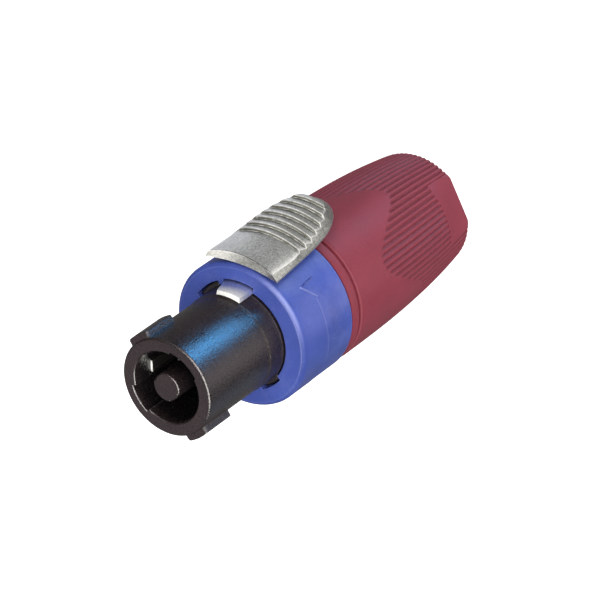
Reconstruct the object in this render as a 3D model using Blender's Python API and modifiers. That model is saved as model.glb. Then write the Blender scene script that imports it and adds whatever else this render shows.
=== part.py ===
# Four-pole speaker connector for a cable, with a bayonet barrel and a sprung sliding latch
# Metres. +Z is the plug's axis, out of the mating end, and the latch is on the -Y side
# The origin is on the axis in the mating plane, so the body runs down to negative heights
# An angle is measured round the axis from the latch, towards +X

import math

import bmesh
import bpy
from mathutils import Matrix

mm = 0.001
degree = math.pi / 180

# Clearance between pieces that seat on each other
clearance = 0.3 * mm

# Barrel, socket and centre post of the insert
barrel_radius = 8.75 * mm
barrel_length = 20.3 * mm
rim_round = 0.25 * mm
socket_radius = 6.4 * mm
socket_depth = 16.0 * mm
floor_thickness = 2.0 * mm
post_radius = 2.55 * mm
collar_height = 3.7 * mm
collar_step = 0.15 * mm
key_recess_depth = 0.65 * mm
key_recess_angles = (107 * degree, 148 * degree)
relief_depth = 0.35 * mm
relief_angles = (-58 * degree, -4 * degree)

# Bayonet lugs, two on opposite sides of the barrel
lug_height = 1.05 * mm
lug_front = 0.3 * mm
lug_length = 6.9 * mm
lug_angle = 40 * degree
lug_half_width = 14.5 * degree

# Housing: front ring, body, rear spigot that the boot screws onto
housing_proud = 0.2 * mm
housing_length = 13.9 * mm
housing_taper = 0.1 * mm
face_round = 0.9 * mm
index_step = 0.08 * mm
index_step_place = 6.4 * mm
ring_depth = 3.0 * mm
cavity_gap = 0.45 * mm
spigot_wall = 1.5 * mm
spigot_length = 11.8 * mm
keyway_depth = 0.75 * mm
keyways = ((46 * degree, 16 * degree), (-138 * degree, 14 * degree))
key_setback = 0.6 * mm
key_tail = 1.0 * mm

# Terminal block behind the floor of the insert
block_length = 13.7 * mm
block_wall = 1.4 * mm
divider_thickness = 1.0 * mm
divider_setback = 2.0 * mm

# Contact strips: two in the wall of the socket, two in the post
strip_thickness = 0.6 * mm
strip_side_gap = 0.4 * mm
strip_proud = 0.25 * mm
wall_contact_angle = 94 * degree
post_contact_angle = 55 * degree
wall_contact_setback = 4.5 * mm
post_contact_setback = 7.0 * mm
tail_length = 11.4 * mm

# Clamp cages and their screws
cage_room = 0.77 * mm
cage_wall = 0.6 * mm
cage_length = 8.0 * mm
cage_gap = 2.4 * mm
screw_edge = 0.75 * mm
screw_sink = 0.7 * mm
screw_gap = 0.65 * mm
screw_slot = 0.5 * mm

# Latch: thumb plate, foot and locking tongue in one casting
latch_overhang = 0.32 * mm
latch_front_lean = 0.44 * mm
latch_travel = 3.8 * mm
latch_top_length = 21.2 * mm
latch_apron = 1.2 * mm
latch_round_start = 6.0 * mm
latch_half_width = 7.2 * mm
latch_flank = 0.78 * mm
latch_taper = 0.036
latch_rise = 0.09
latch_lift = 0.45 * mm
latch_seat_radius = 27.0 * mm
latch_arch_radius = 14.0 * mm
latch_front_height = 2.1 * mm
latch_field_length = 8.0 * mm
latch_last_tread = 2.1 * mm
latch_tail_fall = 1.0 * mm
tooth_count = 7
tooth_step = 0.4 * mm
tooth_fall = 0.18 * mm
tooth_lean = 0.24 * mm
tooth_cutback = 0.9
tongue_reach = 3.7 * mm
tongue_gap = 0.2 * mm
tongue_thickness = 0.7 * mm
tongue_nose = 0.1 * mm
tongue_ramp = 0.95 * mm
tongue_ramp_height = 0.37 * mm
tongue_half_angle = 15 * degree
foot_half_width = 2.3 * mm
foot_length = 2.5 * mm

# Latch spring
spring_radius = 1.1 * mm
spring_wire = 0.4 * mm
spring_turns = 5
spring_room = 2.9 * mm

# Cable chuck: a ring with fingers that the boot's cone closes
chuck_wall = 1.7 * mm
chuck_ring_length = 6.7 * mm
chuck_straight = 20.7 * mm
chuck_cone_length = 10.0 * mm
chuck_cone_fall = 1.0 * mm
chuck_grip_radius = 6.6 * mm
chuck_slot = 1.2 * mm
chuck_slot_count = 3
chuck_tooth_count = 4
chuck_tooth_depth = 0.35 * mm

# Boot: neck ring, groove, smooth front, ribbed grip in four lobes, two flats at the rear
boot_wall = 1.4 * mm
boot_length = 38.8 * mm
boot_fall = 2.4 * mm
boot_fall_power = 2.7
neck_length = 1.95 * mm
neck_inset = 0.05 * mm
groove_width = 0.6 * mm
groove_depth = 0.6 * mm
shoulder_round = 0.5 * mm
rear_round = 1.3 * mm
cable_hole_radius = 7.2 * mm
rear_wall = 4.6 * mm
rib_count = 72
rib_depth = 0.22 * mm
lobe_count = 4
lobe_angle = -63 * degree
flat_half_angle = 26.5 * degree
grip_front = 10.6 * mm
grip_corner = 22.0 * mm
grip_tail = 7.6 * mm
flat_depth = 0.76 * mm

# Levels worked out from the sizes above
housing_face = -barrel_length
ring_back = housing_face - ring_depth
housing_rear = housing_face - housing_length
spigot_rear = housing_rear - spigot_length
block_front = ring_back - clearance
block_rear = block_front - block_length + clearance
socket_floor = -socket_depth
floor_back = socket_floor - floor_thickness
strap_front = floor_back - clearance
strap_back = strap_front - strip_thickness
cage_front = strap_back - cage_gap
screw_level = cage_front - 0.65 * cage_length
latch_front = housing_face + latch_overhang
latch_length = latch_top_length + latch_apron
tooth_pitch = (latch_top_length - latch_field_length - latch_last_tread) / (tooth_count - 1)
tongue_tip = housing_face + tongue_reach
foot_front = ring_back - 0.7 * mm
foot_back = foot_front - foot_length
slot_back = foot_back - latch_travel - clearance
spring_front = foot_back - clearance
spring_back = slot_back - spring_room
boot_front = housing_rear - clearance
boot_rear = boot_front - boot_length
shoulder = boot_front - neck_length - groove_width
chuck_front = block_rear - clearance

# Radii worked out from the sizes above
collar_radius = barrel_radius + collar_step
bore_radius = collar_radius + 0.25 * mm
cavity_radius = bore_radius + cavity_gap
block_radius = cavity_radius - clearance
chamber_radius = block_radius - block_wall
spigot_radius = cavity_radius + spigot_wall
boot_bore_radius = spigot_radius + clearance
boot_radius = boot_bore_radius + boot_wall
housing_radius = boot_radius + housing_proud
housing_rear_radius = housing_radius - housing_taper
latch_seat = housing_radius + latch_lift
latch_top_edge = latch_half_width - latch_flank
keyway_radius = bore_radius + keyway_depth
tongue_inner = collar_radius + tongue_gap
tongue_outer = tongue_inner + tongue_thickness
spring_offset = (cavity_radius + housing_radius) / 2 - 0.1 * mm
chuck_radius = cavity_radius - clearance

# Four cages share the chamber: each one reaches from the dividers' corner to the wall's gap
divider_corner = math.sqrt(2) * (divider_thickness / 2 + clearance)
cage_size = (chamber_radius - cage_room - divider_corner) / 1.5
cage_inner = cage_size / 2 + divider_corner
tail_radius = cage_inner + cage_wall + clearance + strip_thickness / 2
strip_width = cage_size - 2 * cage_wall - 2 * strip_side_gap
screw_radius = cage_size / 2 - screw_edge
screw_outer = block_radius - screw_sink
screw_inner = tail_radius + strip_thickness / 2 + screw_gap


def tidy_start():
    for leftover in list(bpy.data.objects):
        bpy.data.objects.remove(leftover, do_unlink=True)


def add_collection(name):
    collection = bpy.data.collections.new(name)
    bpy.context.scene.collection.children.link(collection)
    return collection


def add_material(name, colour, roughness, metallic):
    material = bpy.data.materials.new(name)
    material.use_nodes = True
    shader = material.node_tree.nodes["Principled BSDF"]
    shader.inputs["Base Color"].default_value = (*colour, 1.0)
    shader.inputs["Roughness"].default_value = roughness
    shader.inputs["Metallic"].default_value = metallic
    material.diffuse_color = (*colour, 1.0)
    return material


tidy_start()
parts = add_collection("speaker_connector")
cutters = add_collection("cutters")


def place(name, mesh, material):
    obj = bpy.data.objects.new(name, mesh)
    if material is None:
        cutters.objects.link(obj)
        obj.hide_render = True
        obj.display_type = "WIRE"
    else:
        parts.objects.link(obj)
        obj.data.materials.append(material)
    return obj


def finish(name, bm, material):
    bmesh.ops.recalc_face_normals(bm, faces=bm.faces)
    mesh = bpy.data.meshes.new(name)
    bm.to_mesh(mesh)
    bm.free()
    return place(name, mesh, material)


def polar(radius, angle):
    return (radius * math.sin(angle), -radius * math.cos(angle))


def arc(radius, start, end, steps):
    return [polar(radius, start + (end - start) * i / steps) for i in range(steps + 1)]


# Turned solid: the profile runs down the outer side; a closed one is a tube
def lathe(name, profile, steps, material, closed=False):
    mesh = bpy.data.meshes.new(name)
    edges = [(i, i + 1) for i in range(len(profile) - 1)]
    if closed:
        edges.append((len(profile) - 1, 0))
    mesh.from_pydata([(radius, 0.0, height) for radius, height in profile], edges, [])
    obj = place(name, mesh, material)
    screw = obj.modifiers.new("turn", "SCREW")
    screw.axis = "Z"
    screw.angle = 2 * math.pi
    screw.steps = steps
    screw.render_steps = steps
    screw.use_merge_vertices = True
    screw.merge_threshold = 0.000001
    screw.use_smooth_shade = True
    return obj


# Flat outline in X and Y, extruded between two heights
def prism_into(bm, outline, bottom, top):
    face = bm.faces.new([bm.verts.new((x, y, bottom)) for x, y in outline])
    grown = bmesh.ops.extrude_face_region(bm, geom=[face])["geom"]
    moved = [item for item in grown if isinstance(item, bmesh.types.BMVert)]
    bmesh.ops.translate(bm, vec=(0, 0, top - bottom), verts=moved)


def sector_outline(inner, outer, centre, half_width, steps=8):
    near = arc(inner, centre - half_width, centre + half_width, steps)
    far = arc(outer, centre + half_width, centre - half_width, steps)
    return near + far


# Rectangle on a radius: radial span, width across it
def bar_outline(inner, outer, width, angle):
    along = polar(1.0, angle)
    across = polar(1.0, angle + math.pi / 2)
    corners = ((inner, -width / 2), (outer, -width / 2), (outer, width / 2), (inner, width / 2))
    return [(r * along[0] + w * across[0], r * along[1] + w * across[1]) for r, w in corners]


# Drum lying on a radius, for screws and their holes
def drum_into(bm, radius, inner, outer, angle, height, sides):
    middle = polar((inner + outer) / 2, angle)
    turn = Matrix.Rotation(angle, 4, "Z") @ Matrix.Rotation(math.pi / 2, 4, "X")
    bmesh.ops.create_cone(
        bm, cap_ends=True, segments=sides, radius1=radius, radius2=radius, depth=outer - inner,
        matrix=Matrix.Translation((*middle, height)) @ turn)


def boolean(target, operand, operation):
    modifier = target.modifiers.new(operation.lower(), "BOOLEAN")
    modifier.operation = operation
    modifier.solver = "EXACT"
    modifier.object = operand


def cut(target, cutter):
    boolean(target, cutter, "DIFFERENCE")


def join(target, piece):
    boolean(target, piece, "UNION")


def round_points(centre_radius, centre_height, radius, start, end, steps):
    points = []
    for i in range(steps + 1):
        angle = start + (end - start) * i / steps
        points.append((centre_radius + radius * math.cos(angle), centre_height + radius * math.sin(angle)))
    return points


# Blue housing
def make_housing(material):
    step_level = housing_face - index_step_place
    profile = [(bore_radius, ring_back), (bore_radius, housing_face)]
    profile += round_points(
        housing_radius - face_round, housing_face - face_round, face_round, math.pi / 2, 0, 5)
    profile += [
        (housing_radius, step_level + 0.1 * mm), (housing_radius - index_step, step_level),
        (housing_rear_radius, housing_rear + 0.2 * mm), (housing_rear_radius - 0.2 * mm, housing_rear),
        (spigot_radius, housing_rear), (spigot_radius, spigot_rear), (cavity_radius, spigot_rear),
        (cavity_radius, ring_back)]
    housing = lathe("housing", profile, 64, material, closed=True)

    bm = bmesh.new()
    reach = housing_radius + 1 * mm
    for angle, half_width in keyways:
        outline = sector_outline(bore_radius - 1 * mm, keyway_radius, angle, half_width)
        prism_into(bm, outline, block_front - key_tail - clearance, housing_face + 1 * mm)
    tongue_way = sector_outline(
        bore_radius - 1 * mm, tongue_outer + clearance, 0,
        tongue_half_angle + clearance / tongue_inner)
    prism_into(bm, tongue_way, slot_back, housing_face + 1 * mm)
    cut(housing, finish("ring_openings", bm, None))

    bm = bmesh.new()
    slot_width = 2 * (foot_half_width + clearance)
    prism_into(bm, bar_outline(tongue_inner, reach, slot_width, 0), slot_back, foot_front + clearance)
    cut(housing, finish("foot_slot", bm, None))

    bm = bmesh.new()
    pocket = Matrix.Translation((0, -spring_offset, (slot_back + spring_back) / 2))
    bmesh.ops.create_cone(
        bm, cap_ends=True, segments=16, radius1=spring_radius + clearance,
        radius2=spring_radius + clearance, depth=slot_back - spring_back + 2 * clearance, matrix=pocket)
    cut(housing, finish("spring_pocket", bm, None))
    return housing


# Black insert: barrel, post, floor and terminal chambers
def make_insert(material):
    collar_level = housing_face + collar_height
    profile = [(0, 0), (post_radius - 0.15 * mm, 0), (post_radius, -0.15 * mm)]
    profile += [(post_radius, socket_floor), (socket_radius, socket_floor), (socket_radius, 0)]
    profile += round_points(barrel_radius - rim_round, -rim_round, rim_round, math.pi / 2, 0, 3)
    profile += [
        (barrel_radius, collar_level + collar_step), (collar_radius, collar_level),
        (collar_radius, block_front), (block_radius, block_front), (block_radius, block_rear),
        (chamber_radius, block_rear), (chamber_radius, floor_back), (0, floor_back)]
    insert = lathe("insert", profile, 64, material)

    bm = bmesh.new()
    lug_span = (barrel_radius - 0.6 * mm, barrel_radius + lug_height)
    for side in (0, math.pi):
        outline = sector_outline(*lug_span, lug_angle + side, lug_half_width)
        prism_into(bm, outline, -lug_front - lug_length, -lug_front)
    key_gap = clearance / keyway_radius
    for angle, half_width in keyways:
        outline = sector_outline(
            collar_radius - 0.6 * mm, keyway_radius - clearance, angle, half_width - key_gap)
        prism_into(bm, outline, block_front - key_tail, housing_face - key_setback)
    join(insert, finish("lugs_and_keys", bm, None))

    for number, angle in enumerate((wall_contact_angle - math.pi / 4, wall_contact_angle + math.pi / 4)):
        bm = bmesh.new()
        span = chamber_radius + block_wall / 2
        outline = bar_outline(-span, span, divider_thickness, angle)
        prism_into(bm, outline, block_rear + clearance, floor_back - divider_setback)
        join(insert, finish("divider_" + str(number), bm, None))

    bm = bmesh.new()
    groove_width_each = strip_width + 2 * clearance
    wall_back = socket_radius - strip_proud + strip_thickness + clearance
    post_front = post_radius + strip_proud - strip_thickness - clearance
    for side in (0, math.pi):
        outline = bar_outline(socket_radius - 0.8 * mm, wall_back, groove_width_each, wall_contact_angle + side)
        prism_into(bm, outline, floor_back - 1 * mm, -wall_contact_setback + clearance)
        outline = bar_outline(
            post_front, post_radius + 0.6 * mm, groove_width_each, post_contact_angle + side)
        prism_into(bm, outline, floor_back - 1 * mm, 1 * mm)
    cut(insert, finish("contact_grooves", bm, None))

    bm = bmesh.new()
    for (start, end), depth in ((key_recess_angles, key_recess_depth), (relief_angles, relief_depth)):
        outline = sector_outline(
            socket_radius - 1 * mm, socket_radius + depth, (start + end) / 2, (end - start) / 2)
        prism_into(bm, outline, socket_floor + 2 * mm, 1 * mm)
    channel = sector_outline(
        collar_radius - 0.1 * mm, block_radius + 1 * mm, 0, tongue_half_angle + clearance / tongue_inner)
    prism_into(bm, channel, slot_back, ring_back + 1 * mm)
    cut(insert, finish("recesses", bm, None))

    bm = bmesh.new()
    for quarter in range(4):
        angle = wall_contact_angle + quarter * math.pi / 2
        drum_into(bm, screw_radius + clearance, chamber_radius - 1 * mm, block_radius + 1 * mm,
                  angle, screw_level, 16)
    cut(insert, finish("screw_holes", bm, None))
    return insert


# Contact strip: a blade in the socket, a strap behind the floor and a tail in the cage
def make_contact(name, blade_angle, blade_middle, setback, tail_angle, material):
    half = strip_thickness / 2
    spread = 0.05 * mm
    middle = (strap_front + strap_back) / 2
    bm = bmesh.new()
    blade = bar_outline(blade_middle - half, blade_middle + half, strip_width, blade_angle)
    prism_into(bm, blade, middle, -setback)
    tail = bar_outline(tail_radius - half, tail_radius + half, strip_width, tail_angle)
    prism_into(bm, tail, strap_back - tail_length, middle)
    limbs = finish(name + "_limbs", bm, None)

    bm = bmesh.new()
    near = bar_outline(blade_middle - half - spread, blade_middle + half + spread,
                       strip_width + 2 * spread, blade_angle)
    far = bar_outline(tail_radius - half - spread, tail_radius + half + spread,
                      strip_width + 2 * spread, tail_angle)
    corners = [bm.verts.new((x, y, strap_back)) for x, y in near + far]
    corners += [bm.verts.new((x, y, strap_front)) for x, y in near + far]
    bmesh.ops.convex_hull(bm, input=corners)
    spare = [v for v in bm.verts if not v.link_faces]
    bmesh.ops.delete(bm, geom=spare, context="VERTS")
    strip = finish(name, bm, material)
    join(strip, limbs)
    return strip


# Clamp cage: a square sleeve with a threaded hole in its outer wall
def make_cage(name, angle, material):
    centre = cage_inner + cage_size / 2
    bm = bmesh.new()
    half = cage_size / 2
    cage_back = cage_front - cage_length
    prism_into(bm, bar_outline(centre - half, centre + half, cage_size, angle), cage_back, cage_front)
    cage = finish(name, bm, material)
    bm = bmesh.new()
    inside = half - cage_wall
    outline = bar_outline(centre - inside, centre + inside, 2 * inside, angle)
    prism_into(bm, outline, cage_back - 1 * mm, cage_front + 1 * mm)
    cut(cage, finish(name + "_way", bm, None))
    bm = bmesh.new()
    drum_into(bm, screw_radius + clearance, centre + inside / 2, centre + half + 1 * mm,
              angle, screw_level, 16)
    cut(cage, finish(name + "_thread", bm, None))
    return cage


def make_screw(name, angle, material):
    bm = bmesh.new()
    drum_into(bm, screw_radius, screw_inner, screw_outer, angle, screw_level, 16)
    screw = finish(name, bm, material)
    bm = bmesh.new()
    outline = bar_outline(screw_outer - 0.6 * mm, screw_outer + 1 * mm, screw_slot, angle)
    prism_into(bm, outline, screw_level - 2 * screw_radius, screw_level + 2 * screw_radius)
    cut(screw, finish(name + "_slot", bm, None))
    return screw


# Height of a tooth's foot over the plug's axis and the rise above it, behind the latch's front
def latch_crown(distance):
    crown = latch_seat + latch_front_height
    behind = distance - latch_field_length
    if behind <= 0:
        return crown, 0.0
    tooth = min(int(behind / tooth_pitch), tooth_count - 1)
    behind -= tooth * tooth_pitch
    gain = tooth_step - tooth_fall
    crown += tooth * gain
    if behind < tooth_lean:
        return crown, tooth_step * behind / tooth_lean
    run = (behind - tooth_lean) / (tooth_pitch - tooth_lean)
    drop = max(run - 0.45, 0) if tooth == tooth_count - 1 else 0
    share = min(run, 1)
    return crown + gain * share - latch_tail_fall * drop * drop, tooth_step * (1 - share)


# Half width of an outline that is rounded off towards its rear end
def rounded_width(width, distance, end, power):
    share = min(max(distance - latch_round_start, 0) / (end - latch_round_start), 1)
    return width * math.sqrt(1 - share ** power)


# Closed outline of the thumb plate: arched crown, then the hollow underside that reaches further back
def latch_section(distance):
    steps = 12
    foot, rise = latch_crown(distance)
    edge = rounded_width(latch_top_edge, distance, latch_top_length, 2.5)
    edge -= tooth_cutback * rise * min(edge / (3 * mm), 1)
    top = []
    for i in range(steps + 1):
        x = edge * (2 * i / steps - 1)
        top.append((x, x * x / (2 * latch_arch_radius) - foot - rise, latch_front - distance))
    stretch = (latch_length - latch_round_start) / (latch_top_length - latch_round_start)
    below = distance + (stretch - 1) * max(distance - latch_round_start, 0)
    half = rounded_width(latch_half_width - latch_taper * below, below, latch_length, 3.65)
    seat = latch_seat + latch_rise * below
    level = latch_front - latch_front_lean - below
    bottom = []
    for i in range(steps + 1):
        x = half * (1 - 2 * i / steps)
        bottom.append((x, x * x / (2 * latch_seat_radius) - seat, level))
    return top + bottom


# Skin over rings of equal length; each end is closed by strips between the ring's two halves
def loft_into(bm, sections):
    rings = [[bm.verts.new(point) for point in section] for section in sections]
    for ring, following in zip(rings, rings[1:]):
        for i in range(len(ring)):
            j = (i + 1) % len(ring)
            bm.faces.new((ring[i], ring[j], following[j], following[i]))
    for ring in (rings[0], rings[-1]):
        for i in range(len(ring) // 2 - 1):
            bm.faces.new((ring[i], ring[i + 1], ring[-2 - i], ring[-1 - i]))


# Stations along the thumb plate: foot and head of each riser, then the tail
def latch_stations():
    stations = [0.0, latch_field_length / 2]
    for tooth in range(tooth_count):
        start = latch_field_length + tooth * tooth_pitch
        stations += [start, start + tooth_lean]
    start = stations[-1]
    room = 0.995 * latch_top_length - start
    return stations + [start + room * share for share in (0.35, 0.6, 0.8, 0.93, 1.0)]


def make_latch(material):
    bm = bmesh.new()
    loft_into(bm, [latch_section(distance) for distance in latch_stations()])
    latch = finish("latch_slider", bm, material)

    nose = tongue_inner + tongue_nose
    profile = [
        (tongue_outer, foot_back), (tongue_outer, housing_face),
        (nose + tongue_ramp_height, tongue_tip - tongue_ramp), (nose, tongue_tip),
        (tongue_inner, tongue_tip), (tongue_inner, tongue_tip - tongue_ramp),
        (tongue_inner, housing_face), (tongue_inner, foot_back)]
    steps = 8
    bm = bmesh.new()
    sections = []
    for i in range(steps + 1):
        angle = tongue_half_angle * (2 * i / steps - 1)
        sections.append([(*polar(radius, angle), height) for radius, height in profile])
    loft_into(bm, sections)
    join(latch, finish("tongue", bm, None))

    bm = bmesh.new()
    outer = latch_seat + latch_front_height / 2
    outline = bar_outline(tongue_inner + tongue_thickness / 2, outer, 2 * foot_half_width, 0)
    prism_into(bm, outline, foot_back, foot_front)
    join(latch, finish("foot", bm, None))
    return latch


def make_spring(material):
    curve = bpy.data.curves.new("latch_spring", "CURVE")
    curve.dimensions = "3D"
    curve.bevel_depth = spring_wire / 2
    curve.bevel_resolution = 1
    curve.use_fill_caps = True
    per_turn = 10
    count = spring_turns * per_turn
    spline = curve.splines.new("POLY")
    spline.points.add(count)
    radius = spring_radius - spring_wire / 2
    first = spring_front - spring_wire / 2
    last = spring_back + spring_wire / 2
    for i in range(count + 1):
        turn = 2 * math.pi * i / per_turn
        height = first + (last - first) * i / count
        spline.points[i].co = (radius * math.cos(turn), -spring_offset + radius * math.sin(turn), height, 1)
    obj = bpy.data.objects.new("latch_spring", curve)
    parts.objects.link(obj)
    curve.materials.append(material)
    return obj


def make_chuck(material):
    straight_end = chuck_front - chuck_straight
    rear = straight_end - chuck_cone_length
    inner = chuck_radius - chuck_wall
    profile = [
        (chuck_radius, chuck_front), (chuck_radius, straight_end),
        (chuck_radius - chuck_cone_fall, rear)]
    pitch = chuck_cone_length / chuck_tooth_count
    for tooth in range(chuck_tooth_count):
        profile.append((chuck_grip_radius, rear + tooth * pitch))
        profile.append((chuck_grip_radius + chuck_tooth_depth, rear + (tooth + 0.85) * pitch))
    profile += [(inner, straight_end + 5 * mm), (inner, chuck_front)]
    chuck = lathe("cable_chuck", profile, 36, material, closed=True)
    for number in range(chuck_slot_count):
        angle = math.pi * number / chuck_slot_count + wall_contact_angle
        bm = bmesh.new()
        span = chuck_radius + 1 * mm
        outline = bar_outline(-span, span, chuck_slot, angle)
        prism_into(bm, outline, rear - 1 * mm, chuck_front - chuck_ring_length)
        cut(chuck, finish("chuck_slot_" + str(number), bm, None))
    return chuck


# Outer radius of the boot without its ribs, at a distance behind its shoulder
def boot_outline(distance):
    length = shoulder - boot_rear
    return boot_radius - boot_fall * (max(distance, 0) / length) ** boot_fall_power


# Distance behind the shoulder where the ribs start, at one angle round the boot
def grip_start(angle):
    wave = 0.5 + 0.5 * math.cos(lobe_count * (angle - lobe_angle))
    return grip_corner + (grip_front - grip_corner) * wave ** 0.85 - (shoulder_round + 2 * mm)


# Outer radius over the grip: ribs, and behind them a band that turns into a flat at two sides
def grip_radius(angle, distance, depth):
    length = shoulder - boot_rear
    radius = boot_outline(distance)
    offset = (angle - lobe_angle + math.pi / 2) % math.pi - math.pi / 2
    behind = distance - (length - grip_tail)
    if abs(offset) > flat_half_angle or behind <= 0:
        return radius - depth
    flat = (boot_outline(length) - flat_depth) / math.cos(offset)
    return radius + (min(flat, radius) - radius) * min(behind / grip_tail, 1)


def make_boot(material):
    per_rib = 3
    columns = rib_count * per_rib
    angles = []
    for rib in range(rib_count):
        for part in (0.0, 0.5, 0.75):
            angles.append(2 * math.pi * (rib + part - 0.25) / rib_count)
    valley = [0, 0, 1] * rib_count
    bm = bmesh.new()

    def ring(every, place_of):
        points = []
        for column in range(0, columns, every):
            radius, height = place_of(column)
            points.append(bm.verts.new((*polar(radius, angles[column]), height)))
        return points

    def turned(radius, height, every=per_rib):
        return ring(every, lambda column: (radius, height))

    def ribbed(distance_of, depth_share, inset=0.0):
        def place_of(column):
            angle = angles[column]
            distance = distance_of(angle)
            depth = valley[column] * rib_depth * depth_share
            return (grip_radius(angle, distance, depth) - inset, shoulder - distance)
        return ring(1, place_of)

    length = shoulder - boot_rear
    grip_end = length - grip_tail
    neck = boot_radius - neck_inset
    groove = boot_radius - groove_depth
    groove_front = boot_front - neck_length
    cone_top = chuck_front - chuck_straight
    cone_end = cone_top - chuck_cone_length - clearance
    cone_radius = chuck_radius + clearance
    rings = [
        turned(boot_bore_radius, boot_front),
        turned(neck - 0.25 * mm, boot_front),
        turned(neck, boot_front - 0.25 * mm),
        turned(neck, groove_front + 0.2 * mm),
        turned(neck - 0.2 * mm, groove_front),
        turned(groove, groove_front - 0.05 * mm),
        turned(groove, shoulder + 0.05 * mm),
        turned(boot_radius - shoulder_round, shoulder),
        turned(boot_radius - 0.3 * shoulder_round, shoulder - 0.3 * shoulder_round),
        turned(boot_outline(shoulder_round), shoulder - shoulder_round),
        turned(boot_outline(grip_front - 4 * mm), shoulder - grip_front + 4 * mm),
        ribbed(grip_start, 0.0),
        ribbed(lambda angle: grip_start(angle) + 0.8 * mm, 1.0),
        ribbed(lambda angle: (grip_start(angle) + grip_end) / 2, 1.0),
        ribbed(lambda angle: grip_end, 1.0),
        ribbed(lambda angle: grip_end + 0.05 * mm, 1.0),
        ribbed(lambda angle: grip_end + grip_tail / 2, 1.0),
        ribbed(lambda angle: length - rear_round, 1.0),
        ribbed(lambda angle: length - 0.35 * rear_round, 0.5, 0.3 * rear_round),
        ribbed(lambda angle: length, 0.0, 0.8 * rear_round),
        turned(cable_hole_radius + 0.4 * mm, boot_rear),
        turned(cable_hole_radius, boot_rear + 0.4 * mm),
        turned(cable_hole_radius, boot_rear + rear_wall),
        turned(cone_radius - chuck_cone_fall, boot_rear + rear_wall),
        turned(cone_radius - chuck_cone_fall, cone_end),
        turned(cone_radius, cone_top),
        turned(cone_radius, cone_top + 4 * mm),
        turned(boot_bore_radius, spigot_rear - 1 * mm),
    ]
    rings.append(rings[0])
    for near, far in zip(rings, rings[1:]):
        fewer = min(len(near), len(far))
        for i in range(fewer):
            j = (i + 1) % fewer
            step_near = len(near) // fewer
            step_far = len(far) // fewer
            side_near = [near[(i * step_near + k) % len(near)] for k in range(step_near + 1)]
            side_far = [far[(i * step_far + k) % len(far)] for k in range(step_far + 1)]
            bm.faces.new(side_near + side_far[::-1])
    return finish("boot", bm, material)


def build():
    blue = add_material("housing_blue", (0.075, 0.12, 0.46), 0.32, 0.0)
    black = add_material("insert_black", (0.022, 0.019, 0.021), 0.38, 0.0)
    zinc = add_material("latch_zinc", (0.52, 0.51, 0.47), 0.34, 1.0)
    red = add_material("boot_red", (0.29, 0.055, 0.085), 0.42, 0.0)
    copper = add_material("contact_alloy", (0.78, 0.76, 0.70), 0.25, 1.0)
    brass = add_material("clamp_brass", (0.72, 0.55, 0.26), 0.3, 1.0)
    steel = add_material("plated_steel", (0.62, 0.62, 0.63), 0.28, 1.0)
    pale = add_material("chuck_pale", (0.62, 0.62, 0.60), 0.5, 0.0)

    make_housing(blue)
    make_insert(black)
    wall_middle = socket_radius - strip_proud + strip_thickness / 2
    post_middle = post_radius + strip_proud - strip_thickness / 2
    for side in range(2):
        half_turn = side * math.pi
        make_contact("contact_wall_" + str(side + 1), wall_contact_angle + half_turn, wall_middle,
                     wall_contact_setback, wall_contact_angle + half_turn, copper)
        make_contact("contact_post_" + str(side + 1), post_contact_angle + half_turn, post_middle,
                     post_contact_setback, wall_contact_angle - math.pi / 2 + half_turn, copper)
    for quarter in range(4):
        angle = wall_contact_angle + quarter * math.pi / 2
        make_cage("terminal_clamp_" + str(quarter + 1), angle, brass)
        make_screw("terminal_screw_" + str(quarter + 1), angle, steel)
    make_latch(zinc)
    make_spring(steel)
    make_chuck(pale)
    make_boot(red)


build()
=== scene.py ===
# Four-pole speaker connector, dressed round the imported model
# Metres. +Z is the plug's axis, out of the mating end, and the latch is on the -Y side
# An angle round the plug is measured from the latch towards +X
import math

import bpy
import numpy as np
from mathutils import Matrix, Vector


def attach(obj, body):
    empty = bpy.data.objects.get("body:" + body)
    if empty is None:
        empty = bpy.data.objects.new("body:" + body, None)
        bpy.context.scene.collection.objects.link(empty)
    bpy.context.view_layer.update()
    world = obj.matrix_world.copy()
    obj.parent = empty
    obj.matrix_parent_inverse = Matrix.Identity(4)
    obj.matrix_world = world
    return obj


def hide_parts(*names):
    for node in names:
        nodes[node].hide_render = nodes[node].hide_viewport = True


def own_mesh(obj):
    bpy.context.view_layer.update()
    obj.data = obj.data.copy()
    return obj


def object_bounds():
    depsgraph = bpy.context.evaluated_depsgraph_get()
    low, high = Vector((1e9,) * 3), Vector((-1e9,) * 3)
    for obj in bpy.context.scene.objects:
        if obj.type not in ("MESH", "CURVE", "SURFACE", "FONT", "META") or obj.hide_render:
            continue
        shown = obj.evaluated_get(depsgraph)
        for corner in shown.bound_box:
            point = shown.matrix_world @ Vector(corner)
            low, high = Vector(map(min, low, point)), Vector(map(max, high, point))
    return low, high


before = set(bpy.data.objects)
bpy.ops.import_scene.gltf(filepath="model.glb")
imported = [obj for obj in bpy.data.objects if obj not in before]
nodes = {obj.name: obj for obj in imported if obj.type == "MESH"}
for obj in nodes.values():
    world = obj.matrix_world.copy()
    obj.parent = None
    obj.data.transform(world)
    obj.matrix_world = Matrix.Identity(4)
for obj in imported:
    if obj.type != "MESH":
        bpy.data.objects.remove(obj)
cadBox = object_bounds()
mm = 0.001
# Degrees: the width of a soft edge, and the step between plain columns
edgeSoft = 0.7
angleStep = 2.5

cameraSettings = {
    "azimuth": -43.3,
    "elevation": 44.85,
    "roll": -125.516,
    "across": 21.582 * mm,
    "up": 14.157 * mm,
    "distance": 724.998 * mm,
    "lens": 270,
    "sensor": 36,
}


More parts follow.
